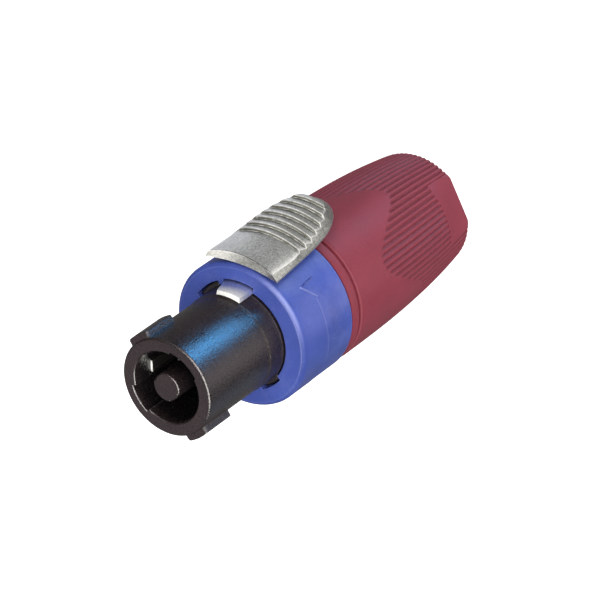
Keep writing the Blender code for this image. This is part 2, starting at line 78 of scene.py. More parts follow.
def cameraAxes(s):
    # Backward vector from azimuth and elevation, then the picture's axes turned round it by the roll
    a, e, r = (math.radians(s[k]) for k in ("azimuth", "elevation", "roll"))
    back = Vector((math.sin(a) * math.cos(e), -math.cos(a) * math.cos(e), math.sin(e)))
    level = Vector((0, 0, 1)).cross(back).normalized()
    over = back.cross(level)
    right = level * math.cos(r) + over * math.sin(r)
    up = over * math.cos(r) - level * math.sin(r)
    return right, up, back


right, up, back = cameraAxes(cameraSettings)


def addCamera(s):
    data = bpy.data.cameras.new("camera")
    data.lens = s["lens"]
    data.sensor_width = s["sensor"]
    data.clip_start = 0.01
    camera = bpy.data.objects.new("camera", data)
    place = right * s["across"] + up * s["up"] + back * s["distance"]
    turn = Matrix((right, up, back)).transposed().to_4x4()
    camera.matrix_world = Matrix.Translation(place) @ turn
    bpy.context.scene.collection.objects.link(camera)
    bpy.context.scene.camera = camera


addCamera(cameraSettings)
print("camera placed")

floorSettings = {"size": 6.0, "colour": (0.93, 0.93, 0.93), "glow": 1.1}
lampSettings = {
    # direction in the picture (right, up, towards the camera), distance, size, watts, colour
    "skyStrip": ((0.62, 0.78, -0.01), 0.9, (0.28, 0.9), 18.5, (0.10, 0.46, 1.0)),
    "coolStrip": ((0.60, 0.80, -0.05), 0.9, (0.3, 0.9), 3.4, (0.5, 0.70, 0.95)),
    "latchStrip": ((0.55, 0.83, -0.08), 0.9, (0.08, 0.9), 1.1, (1.0, 1.0, 1.0)),
    "latchGlint": ((-0.80, 0.18, 0.56), 1.0, (0.5, 0.5), 2.6, (1.0, 0.99, 0.97)),
    "latchSide": ((0.97, 0.12, 0.0), 1.0, (0.7, 0.8), 2.1, (1.0, 0.98, 0.93)),
    "latchFace": ((-0.76, -0.60, -0.05), 1.0, (0.7, 0.7), 5.5, (1.0, 0.98, 0.94)),
    "latchBack": ((-0.10, 0.96, 0.12), 1.0, (0.6, 0.35), 1.05, (0.90, 0.95, 1.0)),
    "latchRear": ((-0.16, 0.64, -0.75), 1.0, (0.5, 0.5), 0.7, (0.86, 0.88, 1.0)),
    "latchEdge": ((0.02, -0.05, 0.99), 1.0, (0.5, 0.5), 6.0, (1.0, 0.99, 0.97)),
    "underStrip": ((0.68, -0.37, -0.64), 0.9, (0.2, 0.6), 0.25, (0.35, 0.65, 1.0)),
    "sidePanel": ((0.97, 0.12, 0.05), 1.0, (0.7, 0.8), 2.8, (1.0, 0.91, 0.90)),
    "backPanel": ((0.0, 0.88, -0.47), 1.1, (1.2, 0.8), 0.8, (0.93, 0.96, 1.0)),
    "facePanel": ((-0.81, -0.58, 0.0), 1.0, (0.8, 0.8), 1.9, (0.42, 0.56, 1.0)),
    "faceFill": ((-0.2, -0.2, 0.96), 1.0, (0.6, 0.6), 1.5, (0.9, 0.94, 1.0)),
    "rimPanel": ((-0.81, -0.58, 0.0), 1.0, (0.8, 0.8), 1.3, (1.0, 0.80, 0.88)),
    "rimLamp": ((0.28, -0.70, 0.65), 1.0, (0.8, 0.8), 44.0, (1.0, 0.98, 0.95)),
    "edgeLamp": ((0.0, -0.08, 0.99), 1.0, (1.0, 1.0), 46.0, (1.0, 0.99, 0.97)),
    "tipLamp": ((-0.50, -0.36, 0.78), 1.0, (1.0, 1.0), 150.0, (1.0, 1.0, 1.0)),
    "bootSide": ((0.9, -0.25, 0.35), 1.0, (0.7, 0.7), 1.35, (1.0, 0.80, 0.82)),
    "frontPanel": ((0.1, -0.1, 0.99), 1.2, (1.1, 1.1), 7.0, (1.0, 0.96, 0.93)),
    "topPanel": ((-0.25, 0.75, 0.62), 1.0, (0.7, 0.7), 2.4, (1.0, 0.97, 0.94)),
    "lowPanel": ((0.05, -0.75, 0.65), 1.0, (0.9, 0.7), 2.0, (1.0, 0.96, 0.93)),
}
# Lamps that only reach some pieces, and lamps that only show in gloss
reachSettings = {
    "skyStrip": ("insertBody",), "rimLamp": ("insertBody",), "rimPanel": ("insertBody",),
    "coolStrip": ("housingShell", "bootGrip"), "latchStrip": ("latchPlate",), "latchRear": ("latchPlate",),
    "edgeLamp": ("insertBody", "housingShell"), "bootSide": ("bootGrip",), "latchEdge": ("latchPlate",),
    "latchGlint": ("latchPlate",), "latchSide": ("latchPlate",), "latchFace": ("latchPlate",),
    "latchBack": ("latchPlate",), "sidePanel": ("insertBody", "housingShell", "bootGrip"),
    "backPanel": ("housingShell", "bootGrip", "latchPlate"), "facePanel": ("housingShell", "bootGrip"),
    "faceFill": ("housingShell",), "tipLamp": ("contact_wall_1", "contact_wall_2"),
}
glossOnly = ("skyStrip", "rimLamp", "edgeLamp", "latchEdge")
worldGlow = 0.22
lampAim = Vector((0, 0, -0.035))


def addFloor(s, level):
    half = s["size"] / 2
    corners = [(-half, -half, level), (half, -half, level), (half, half, level), (-half, half, level)]
    mesh = bpy.data.meshes.new("floor")
    mesh.from_pydata(corners, [], [(0, 1, 2, 3)])
    floor = bpy.data.objects.new("floor", mesh)
    material = bpy.data.materials.new("paleFloor")
    material.use_nodes = True
    shader = material.node_tree.nodes["Principled BSDF"]
    shader.inputs["Base Color"].default_value = (*s["colour"], 1)
    shader.inputs["Roughness"].default_value = 0.9
    shader.inputs["Specular IOR Level"].default_value = 0.1
    shader.inputs["Emission Color"].default_value = (1, 1, 1, 1)
    shader.inputs["Emission Strength"].default_value = s["glow"]
    mesh.materials.append(material)
    bpy.context.scene.collection.objects.link(floor)
    # Only the camera sees the floor, so the low lamps can shine past it
    floor.visible_glossy = False
    floor.visible_diffuse = False
    floor.visible_shadow = False


def addLamp(name, direction, distance, size, watts, colour, aim):
    data = bpy.data.lights.new(name, "AREA")
    data.shape = "RECTANGLE"
    data.size, data.size_y = size
    data.energy = watts
    data.color = colour
    lamp = bpy.data.objects.new(name, data)
    towards = (right * direction[0] + up * direction[1] + back * direction[2]).normalized()
    turn = towards.to_track_quat("Z", "Y").to_matrix().to_4x4()
    lamp.matrix_world = Matrix.Translation(aim + towards * distance) @ turn
    lamp.visible_camera = False
    bpy.context.scene.collection.objects.link(lamp)
    return lamp


def addWorld(strength):
    world = bpy.data.worlds.new("studio")
    world.use_nodes = True
    ground = world.node_tree.nodes["Background"]
    ground.inputs["Color"].default_value = (1, 1, 1, 1)
    ground.inputs["Strength"].default_value = strength
    bpy.context.scene.world = world


addFloor(floorSettings, cadBox[0].z)
lamps = {name: addLamp(name, *values, aim=lampAim) for name, values in lampSettings.items()}
addWorld(worldGlow)
bpy.context.scene.view_settings.view_transform = "Standard"
print("floor and lights placed")


# Soft step from 0 at start to 1 at end: 3t^2 - 2t^3 of the share t of the way
def ramp(x, start, end):
    t = np.clip((x - start) / (end - start), 0, 1)
    return t * t * (3 - 2 * t)


# 1 between low and high and 0 outside, with soft edges of the given width
def band(x, low, high, soft):
    return ramp(x, low - soft / 2, low + soft / 2) * (1 - ramp(x, high - soft / 2, high + soft / 2))


# Numbers along a line: each stop is kept, and the gaps between stops are filled at the given step
def fill(stops, step):
    stops = np.unique(np.round(np.array(stops, float), 6))
    runs = [np.linspace(a, b, max(math.ceil((b - a) / step), 1), endpoint=False)
            for a, b in zip(stops[:-1], stops[1:])]
    return np.append(np.concatenate(runs), stops[-1])


# Stops across a soft edge, so that its rounding gets enough points
def edgeStops(edges, soft):
    return [edge + soft * share for edge in edges for share in (-0.5, -0.3, -0.1, 0.1, 0.3, 0.5)]


# Degrees round the plug, without the last one, because the columns close on themselves
def roundAngles(stops, step):
    return fill(list(stops) + [-180, 180], step)[:-1]


# Points on circles: radius and height for each row and column, angle in degrees for each column
def roundPoints(radius, height, degrees):
    angle = np.radians(degrees)
    radius, height, angle = np.broadcast_arrays(radius, height, angle)
    return np.stack([radius * np.sin(angle), -radius * np.cos(angle), height], axis=-1)


# Vertex numbers of a grid, with its first row or column again at the end where it closes
def gridNumbers(rows, columns, closeRows=False, closeColumns=False):
    numbers = np.arange(rows * columns).reshape(rows, columns)
    if closeRows:
        numbers = np.vstack([numbers, numbers[:1]])
    if closeColumns:
        numbers = np.hstack([numbers, numbers[:, :1]])
    return numbers


def gridQuads(numbers, opened=None):
    quads = np.stack([numbers[:-1, :-1], numbers[1:, :-1], numbers[1:, 1:], numbers[:-1, 1:]], axis=-1)
    return quads.reshape(-1, 4) if opened is None else quads[~opened]


# Walls of openings: where an open cell meets a closed one, a quad joins the near side to the far side
def wallQuads(near, far, opened):
    walls = []
    for axis, shift, turned in ((1, 1, 0), (1, -1, 1), (0, 1, 1), (0, -1, 0)):
        row, column = np.nonzero(opened & ~np.roll(opened, shift, axis=axis))
        if axis == 1:
            at = column + (shift < 0)
            first, second = (row, at), (row + 1, at)
        else:
            at = row + (shift < 0)
            first, second = (at, column), (at, column + 1)
        wall = np.stack([near[first], near[second], far[second], far[first]], axis=-1)
        walls.append(wall[:, ::-1] if turned else wall)
    return np.concatenate(walls)


# Skin over closed rings of points (rings by points), each end shut by strips between its two halves
def ringSkin(points):
    rings, count = points.shape[:2]
    numbers = gridNumbers(rings, count, closeColumns=True)
    quads = [gridQuads(numbers)]
    half = np.arange(count // 2 - 1)
    for ring, flipped in ((numbers[0], False), (numbers[-1], True)):
        cap = np.stack([ring[half], ring[half + 1], ring[count - 2 - half], ring[count - 1 - half]],
                       axis=-1)
        quads.append(cap[:, ::-1] if flipped else cap)
    return points.reshape(-1, 3), np.concatenate(quads)


# One mesh from several point and quad arrays in millimetres; doubles are merged, so that poles close
# as triangles
def makeMesh(name, parts, crease=35, marks=None):
    starts = np.cumsum([0] + [len(points) for points, quads in parts[:-1]])
    points = np.concatenate([points for points, quads in parts]) * mm
    quads = np.concatenate([quads + start for (_, quads), start in zip(parts, starts)])
    kept, first, same = np.unique(np.round(points, 7), axis=0, return_index=True, return_inverse=True)
    quads = same.reshape(-1)[quads]
    twin = quads == np.roll(quads, -1, axis=1)
    fours = quads[~twin.any(axis=1)]
    single = twin.sum(axis=1) == 1
    threes = quads[single][~twin[single]].reshape(-1, 3)
    corners = np.concatenate([fours.ravel(), threes.ravel()])
    firstLoops = np.concatenate([np.arange(len(fours)) * 4, fours.size + np.arange(len(threes)) * 3])
    mesh = bpy.data.meshes.new(name)
    mesh.vertices.add(len(first))
    mesh.vertices.foreach_set("co", points[first].ravel())
    mesh.loops.add(len(corners))
    mesh.loops.foreach_set("vertex_index", corners)
    mesh.polygons.add(len(firstLoops))
    mesh.polygons.foreach_set("loop_start", firstLoops)
    mesh.polygons.foreach_set("use_smooth", np.ones(len(firstLoops), bool))
    mesh.update(calc_edges=True)
    mesh.set_sharp_from_angle(angle=math.radians(crease))
    if marks is not None:
        mesh.attributes.new("paintedLightAndWear", "FLOAT", "POINT").data.foreach_set("value", marks[first])
    return mesh


def addPiece(name, parts, material, body, node, crease=35, marks=None):
    piece = bpy.data.objects.new(name, makeMesh(name, parts, crease, marks))
    piece.data.materials.append(material)
    bpy.context.scene.collection.objects.link(piece)
    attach(piece, body)
    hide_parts(node)
    print(name, "has", sum(len(p.vertices) - 2 for p in piece.data.polygons), "triangles")
    return piece


# Insert: barrel, lugs, socket, post and terminal chambers; all pieces are in millimetres and degrees
insertSettings = {
    "barrel": 8.75, "rimRound": 0.42, "socket": 6.4, "floor": -16.0, "floorBack": -18.0,
    "post": 2.55, "postMark": 0.16, "postNotch": 1.9, "postNotches": ((27, 82), (-160, -98)),
    "postStep": (-6.3, -6.45), "mouthRound": 0.3, "floorRings": (3.15, 5.75), "lugChamfers": (1.5, 2.3),
    "recesses": ((107, 148, 0.65), (-58, -4, 0.35)), "recessEnd": -14.0,
    "wallGroove": 7.05, "wallGrooveFront": -4.2, "wallGrooves": ((82.5, 105.5), (-97.5, -74.5)),
    "lug": 1.05, "lugs": ((25.5, 54.5), (-154.5, -125.5)), "lugFront": -0.34, "lugBack": -7.2,
    "collar": 8.9, "collarLevel": -16.6, "bead": -20.0, "beadHeight": 0.05, "collarStep": 0.1,
    "collarShade": -20.2, "keyRadius": 9.6, "keys": ((32, 60), (-150, -126)), "keyFront": -20.9,
    "keyBack": -24.6, "blockFront": -23.6, "block": 9.3, "blockRear": -37.0, "chamber": 7.9,
    "way": (-16.9, 21.5), "tongueFloor": 8.8, "tongueWay": (-30.6, -22.3),
    "screwAngle": 94, "screwHalf": 11.2, "screwSpan": (-28.15, -24.85),
    "dividers": (49, 139), "dividerThickness": 1.0, "dividerSpan": (-36.7, -20.0),
}


# Rows of radius and height run from the post's tip over the socket's floor and rim, down the barrel,
# and back up inside the block; each feature is a soft box in angle and height that is added to the
# round form's radius
def insertSurface(s):
    soft = edgeSoft
    edges = [e for pair in s["postNotches"] + s["wallGrooves"] + s["keys"] for e in pair]
    edges += [e for recess in s["recesses"] for e in recess[:2]] + list(s["way"])
    lugEdges = [e + way * turn for pair in s["lugs"] for e, way in zip(pair, (1, -1))
                for turn in (0, *s["lugChamfers"])]
    screwEdges = [(s["screwAngle"] + 90 * k + side + 180) % 360 - 180
                  for k in range(4) for side in (-s["screwHalf"], s["screwHalf"])]
    angles = roundAngles(edgeStops(edges, soft) + lugEdges + screwEdges, angleStep)
    one = np.ones_like(angles)

    def sectors(pairs, width=soft):
        return sum(band(angles, low, high, width) for low, high in pairs)

    notch = sectors(s["postNotches"])
    post = s["post"] - s["postMark"] * notch
    groove = (s["wallGroove"] - s["socket"]) * sectors(s["wallGrooves"])
    recess = sum(depth * band(angles, low, high, soft) for low, high, depth in s["recesses"])
    small = s["mouthRound"]
    turn = np.linspace(0, math.pi / 2, 6)
    rows = [(0 * one, 0), (0.5 * post, 0)]
    rows += [(post - small * (1 - math.sin(t)), small * (math.cos(t) - 1)) for t in turn]
    rows += [(post, -1), (post, s["postStep"][0])]
    sunk = s["post"] - (s["post"] - s["postNotch"]) * notch
    rows += [(sunk, z) for z in np.linspace(s["postStep"][1], s["floor"], 8)]
    floorRow = len(rows) - 1
    wall = s["socket"] + groove
    rows += [(r * one, s["floor"]) for r in s["floorRings"]] + [(wall, s["floor"])]
    for z in fill([s["floor"], -small] + edgeStops([s["recessEnd"], s["wallGrooveFront"]], 0.3), 1.0)[1:]:
        inGroove = 1 - ramp(z, s["wallGrooveFront"] - 0.15, s["wallGrooveFront"] + 0.15)
        inRecess = ramp(z, s["recessEnd"] - 0.15, s["recessEnd"] + 0.15)
        rows.append((s["socket"] + np.maximum(groove * inGroove, recess * inRecess), z))
    rimRow = len(rows)
    rim = s["socket"] + recess
    rows += [(rim + small * (1 - math.cos(t)), -small * (1 - math.sin(t))) for t in turn[1:]]
    outer = s["barrel"] - s["rimRound"]
    rows += [((rim + outer) / 2, 0)]
    rows += [((outer + s["rimRound"] * math.sin(t)) * one, s["rimRound"] * (math.cos(t) - 1)) for t in turn]
    # A lug's section and its side view are boxes with chamfers
    first, second = s["lugChamfers"]
    lugShape = sum(np.interp(angles, (low, low + first, low + second, high - second, high - first, high),
                             (0, 0.9, 1, 1, 0.9, 0)) for low, high in s["lugs"])
    lugLevels = (s["lugBack"] - 0.04, s["lugBack"] + 0.04, s["lugFront"] - 0.24, s["lugFront"] - 0.1,
                 s["lugFront"] - 0.02)
    collar, step = s["collarLevel"], s["collarStep"]
    stops = [z for z in lugLevels if z < -s["rimRound"]]
    for z in fill([-s["rimRound"], collar + 0.18] + stops, 0.7)[::-1][1:]:
        rows.append((s["barrel"] + s["lug"] * lugShape * np.interp(z, lugLevels, (0, 1, 1, 0.86, 0)), z))
    rows += [((s["barrel"] + 0.04) * one, collar + 0.04), ((s["barrel"] + step) * one, collar - 0.05)]
    keys = (s["keyRadius"] - s["collar"]) * sectors(s["keys"])
    inWay = band(angles, *s["way"], soft)
    beadStops = [s["bead"] + way for way in (-0.12, -0.05, 0, 0.05, 0.12)]
    for z in fill([collar - 0.4, s["blockFront"]] + beadStops + edgeStops([s["keyFront"]], 0.2), 1.0)[::-1]:
        swell = 1 - ramp(z, collar - 2.5, collar - 0.4)
        radius = s["barrel"] + step + (s["collar"] - s["barrel"] - step) * swell
        radius += s["beadHeight"] * (1 - ramp(abs(z - s["bead"]), 0.02, 0.12))
        rows.append((radius + keys * (1 - ramp(z, s["keyFront"] - 0.1, s["keyFront"] + 0.1)), z))
    levels = fill([s["blockFront"], s["blockRear"], s["tongueWay"][0] - 0.1, s["tongueWay"][0] + 0.1,
                   *s["screwSpan"]], 1.6)[::-1]
    wayDepth = (s["block"] - s["tongueFloor"]) * inWay
    firstBlock = len(rows)
    for z in levels:
        inside = ramp(z, s["tongueWay"][0] - 0.1, s["tongueWay"][0] + 0.1)
        keyed = s["collar"] + keys * (z > s["keyBack"])
        rows.append((np.maximum(s["block"] + 0 * keys, keyed) - wayDepth * inside, z))
    chamberRow = len(rows)
    rows += [(s["chamber"] * one, z) for z in levels[::-1]]
    rows += [(r * one, s["floorBack"])
             for r in (s["chamber"], s["wallGroove"], *s["floorRings"][::-1], s["postNotch"], 0)]

    radius = np.stack([r for r, z in rows])
    height = np.array([z for r, z in rows], float)[:, None]
    numbers = gridNumbers(len(rows), len(angles), closeColumns=True)
    middle = angles + np.diff(np.append(angles, 180)) / 2
    opened = np.zeros((len(rows) - 1, len(angles)), bool)

    def inSector(pairs, spare):
        return sum((middle > low + spare) & (middle < high - spare) for low, high in pairs) > 0

    floorOpen = np.zeros((3, len(angles)), bool)
    floorOpen[0] = inSector(s["postNotches"], 0)
    floorOpen[2] = inSector(s["wallGrooves"], 0)
    last = len(rows) - 1
    near = numbers[floorRow:floorRow + 4]
    far = numbers[last - 4:last][::-1]
    opened[floorRow:floorRow + 3] |= floorOpen
    opened[last - 4:last - 1] |= floorOpen[::-1]
    quads = [wallQuads(near, far, floorOpen)]

    offset = (middle - s["screwAngle"] + 45) % 90 - 45
    centre = (levels[:-1] + levels[1:]) / 2
    inSpan = (centre > s["screwSpan"][0]) & (centre < s["screwSpan"][1])
    screwOpen = inSpan[:, None] & (np.abs(offset) < s["screwHalf"])[None, :]
    count = len(levels)
    opened[firstBlock:firstBlock + count - 1] |= screwOpen
    opened[chamberRow:chamberRow + count - 1] |= screwOpen[::-1]
    quads.append(wallQuads(numbers[firstBlock:firstBlock + count],
                           numbers[chamberRow:chamberRow + count][::-1], screwOpen))
    quads.append(gridQuads(numbers, opened))
    # Painted shade: the socket darkens with depth, and the barrel is darkened behind the housing's face
    depth = ramp(-height, 0.1, 2.5) * (np.arange(len(rows)) < rimRow)[:, None] + 0 * radius
    outside = (np.arange(len(rows)) > rimRow)[:, None]
    depth += 0.8 * (height < s["collarShade"]) * outside
    # Painted highlights, partly wear: the lugs' front edges and the bead by the housing are lightened
    front = (height > s["lugFront"] - 0.26) & (height < s["lugFront"] - 0.09) & outside
    side = (lugShape > 0) & (lugShape < 0.95) & (angles < 40)
    depth -= 0.9 * front * side + 0.25 * outside * np.exp(-((height - s["bead"]) / 0.06) ** 2)
    return (roundPoints(radius, height, angles).reshape(-1, 3), np.concatenate(quads)), -depth.ravel()


# Upright wall across the round chamber: a slab on a diameter, its rings level
def dividerSlab(s, degrees):
    reach = s["chamber"] + 0.5
    half = s["dividerThickness"] / 2
    along = np.array([math.sin(math.radians(degrees)), -math.cos(math.radians(degrees))])
    across = np.array([-along[1], along[0]])
    flat = np.array([-reach * along - half * across, reach * along - half * across,
                     reach * along + half * across, -reach * along + half * across])
    levels = np.array([s["dividerSpan"][1], s["dividerSpan"][0]])
    rings = np.stack([np.column_stack([flat, np.full(4, z)]) for z in levels])
    return ringSkin(rings)


# Housing: front ring, side with the arrow mark, and spigot
housingSettings = {
    "bore": 9.15, "face": -20.3, "ringBack": -23.3, "keyRadius": 9.9, "keyways": ((27.5, 62), (-152, -124)),
    "keyEnd": -24.9, "way": (-14.6, 21.5), "wayRadius": 10.1, "wayEnd": -30.6, "radius": 13.0, "taper": 0.1,
    "highlightRing": 12.32, "round": 0.8, "bow": 1.3, "ring": -26.7, "ringStep": 0.05, "rear": -34.2,
    "spigot": 11.1, "spigotRear": -46.0, "cavity": 9.6, "slotHalf": 14, "slot": (-30.6, -23.7),
    "pocketHalf": 8, "pocketEnd": -33.6,
    "arrow": ((-39.1, -28.7), (-40.8, -25.1), (-52.6, -27.4)), "arrowHeight": 0.2, "arrowWidth": 0.2,
    "line": ((-54, -27.1), (-75, -27.1), (-106, -27.4)),
}


# Distance from points on the unrolled side (arc length, height) to the arrow mark's two strokes
def strokeDistance(arc, height, stroke):
    least = np.full(np.broadcast(arc, height).shape, 9.0)
    for (a, b), (c, d) in zip(stroke[:-1], stroke[1:]):
        share = ((arc - a) * (c - a) + (height - b) * (d - b)) / ((c - a) ** 2 + (d - b) ** 2)
        share = np.clip(share, 0, 1)
        least = np.minimum(least, np.hypot(arc - a - share * (c - a), height - b - share * (d - b)))
    return least


# Closed band of rows: bore, face, rounded edge, side with a raised arrow mark, rear, spigot and cavity; the
# keyways and the tongue's way are soft boxes in the bore's radius, and the foot's slot is an opening
def housingSurface(s):
    soft = edgeSoft
    edges = [e for pair in s["keyways"] for e in pair] + list(s["way"])
    plain = [-s["slotHalf"], s["slotHalf"], -s["pocketHalf"], s["pocketHalf"]]
    arrowAngles = [p[0] for p in s["arrow"]]
    markRange = (min(arrowAngles) - 1.5, max(arrowAngles) + 1.5)
    angles = roundAngles(edgeStops(edges, soft) + plain + list(fill(markRange, 0.4)), angleStep)
    one = np.ones_like(angles)
    keyway = sum(band(angles, low, high, soft) for low, high in s["keyways"])
    way = band(angles, *s["way"], soft)
    bore = np.maximum(s["bore"] + (s["keyRadius"] - s["bore"]) * keyway,
                      s["bore"] + (s["wayRadius"] - s["bore"]) * way)
    rows = [(bore, z) for z in (s["ringBack"], -22.0, -21.0, s["face"] - 0.15)]
    rows += [(bore + 0.04, s["face"] - 0.05), (bore + 0.15, s["face"])]
    outer = s["radius"] - s["round"]
    rows += [(bore + (outer - bore) * share, s["face"]) for share in (0.35, 0.7, 0.9)]
    rows += [((outer + s["round"] * math.sin(t) ** s["bow"]) * one,
              s["face"] - s["round"] * (1 - math.cos(t) ** s["bow"]))
             for t in np.linspace(0, math.pi / 2, 19)]
    markLevels = (min(p[1] for p in s["arrow"]) - 0.4, max(p[1] for p in s["arrow"]) + 0.4)
    levels = fill([s["face"] - s["round"], s["rear"] + 0.2, *s["slot"], s["pocketEnd"],
                   s["ring"] - 0.06, s["ring"] + 0.06, *fill(markLevels, 0.1)], 0.8)[::-1]
    stroke = [(math.radians(a) * s["radius"], z) for a, z in s["arrow"]]
    arc = np.radians(angles) * s["radius"]
    sideStart = len(rows) - 1
    marks = [0 * one] * len(rows)
    for k, (r, z) in enumerate(rows):
        # Painted highlight line where the face turns into the side, stronger between -105 and -25 degrees
        marks[k] = (0.3 + 0.55 * band(angles, -105, -25, 30)) * np.exp(-((r - s["highlightRing"]) / 0.08) ** 2)
        marks[k] = marks[k] * (z > s["face"] - 0.3)
    scuff = [(math.radians(a) * s["radius"], z) for a, z in s["line"]]
    for z in levels[1:]:
        share = (s["face"] - z) / (s["face"] - s["rear"])
        radius = s["radius"] - s["ringStep"] * (1 - ramp(z, s["ring"] - 0.06, s["ring"] + 0.06))
        mark = s["arrowHeight"] * (1 - ramp(strokeDistance(arc, z, stroke), 0.02, s["arrowWidth"]))
        rows.append((radius - (s["taper"] - s["ringStep"]) * share + mark, z))
        # One stroke of the arrow gets a painted highlight and the other painted shade; the scuff line is
        # lighter
        light, dark, thin = (1 - ramp(strokeDistance(arc, z, line), 0.03, 0.24)
                             for line in (stroke[1:], stroke[:2], scuff))
        # Paler patches beside the latch and on the side's front half
        pale = 0.12 * band(angles, -76, -42, 24) * band(z, -28.5, -22, 3)
        pale += 0.09 * band(angles, -40, -26, 9) * band(z, -30, -22, 3)
        marks.append(0.75 * light - 0.6 * dark * (1 - light) + 0.3 * thin + pale)
    end = s["radius"] - s["taper"]
    rows += [((end - 0.05) * one, s["rear"] + 0.06), ((end - 0.2) * one, s["rear"]),
             (s["spigot"] * one, s["rear"])]
    rows += [(s["spigot"] * one, z) for z in (-38, -42, s["spigotRear"] + 0.3)]
    rows += [((s["spigot"] - 0.3) * one, s["spigotRear"]), (s["cavity"] * one, s["spigotRear"])]
    rows += [(s["cavity"] * one, z) for z in (-42, -38, -35)]
    window = levels[(levels <= s["slot"][1] + 1e-6) & (levels >= s["pocketEnd"] - 1e-6)]
    cavityStart = len(rows)
    for z in window[::-1]:
        radius = s["cavity"] + (s["keyRadius"] - s["cavity"]) * keyway * (z > s["keyEnd"])
        inWay = way * (z > s["wayEnd"] - 0.01)
        radius = np.maximum(radius, s["cavity"] + (s["wayRadius"] - s["cavity"]) * inWay)
        rows.append((radius, z))
    rows.append((rows[-1][0], s["ringBack"]))

    radius = np.stack([r for r, z in rows])
    height = np.array([z for r, z in rows], float)[:, None]
    numbers = gridNumbers(len(rows), len(angles), closeRows=True, closeColumns=True)
    opened = np.zeros((len(rows), len(angles)), bool)
    middle = angles + np.diff(np.append(angles, 180)) / 2
    centre = (window[:-1] + window[1:]) / 2
    hole = (np.abs(middle) < s["slotHalf"])[None, :] & (centre > s["slot"][0])[:, None]
    hole |= (np.abs(middle) < s["pocketHalf"])[None, :] & (centre <= s["slot"][0])[:, None]
    count = len(window)
    nearStart = sideStart + int(np.argmin(np.abs(levels - window[0])))
    near = numbers[nearStart:nearStart + count]
    far = numbers[cavityStart:cavityStart + count][::-1]
    opened[nearStart:nearStart + count - 1] |= hole
    opened[cavityStart:cavityStart + count - 1] |= hole[::-1]
    quads = np.concatenate([wallQuads(near, far, hole), gridQuads(numbers, opened)])
    marks += [0 * one] * (len(rows) - len(marks))
    return (roundPoints(radius, height, angles).reshape(-1, 3), quads), np.concatenate(marks)


# Boot: neck, groove, smooth front and ribbed grip
bootSettings = {
    "radius": 12.8, "fall": 2.4, "fallPower": 2.7, "front": -34.5, "shoulder": -37.05, "rear": -73.3,
    "bore": 11.4, "neck": 12.75, "grooveFront": -36.45, "groove": 12.2, "shoulderRound": 0.5,
    "ribs": 72, "ribDepth": 0.26, "ribPower": 1.5, "lobes": 4, "lobeAngle": -63, "gripFront": 8.1,
    "gripCorner": 19.5, "ribFade": 0.8, "flatAngle": -60.3, "flatHalf": 28, "gripTail": 7.6,
    "flatDepth": 0.76, "rearRound": 1.3, "hole": 7.2, "perRib": 8, "step": 0.33, "rearWall": 4.6,
    "inside": ((8.6, -68.3), (9.6, -58), (9.6, -54)), "boreEnd": -47,
}


# Radius behind the shoulder, and the share of a rib's valley there, from the angle and the distance: the
# radius falls as a power of the distance, less a cosine wave for the ribs that fades in behind a wavy
# line, and turns into a chord at the two flats
def bootRadius(s, degrees, distance):
    length = s["shoulder"] - s["rear"]
    radius = s["radius"] - s["fall"] * (distance / length) ** s["fallPower"]
    wave = 0.5 + 0.5 * np.cos(np.radians(s["lobes"] * (degrees - s["lobeAngle"])))
    start = s["gripCorner"] + (s["gripFront"] - s["gripCorner"]) * wave ** 0.85
    rib = (0.5 - 0.5 * np.cos(np.radians(s["ribs"] * degrees))) ** s["ribPower"]
    side = (degrees - s["flatAngle"] + 90) % 180 - 90
    onFlat = np.abs(side) < s["flatHalf"]
    behind = distance - (length - s["gripTail"])
    shown = ramp(distance, start, start + s["ribFade"]) * (1 - ramp(distance, length - 0.06, length - 0.01))
    shown = shown * (1 - onFlat * ramp(behind, -0.1, 0.15))
    flat = (s["radius"] - s["fall"] - s["flatDepth"]) / np.cos(np.radians(side))
    share = np.clip(behind / s["gripTail"], 0, 1) * onFlat
    inset = np.clip((distance - length + s["rearRound"]) / s["rearRound"], 0, 1)
    inset = 0.8 * s["rearRound"] * (1 - np.sqrt(1 - inset ** 2))
    cut = (np.minimum(flat, radius) - radius) * share
    return radius - s["ribDepth"] * rib * shown + cut - inset, rib * shown


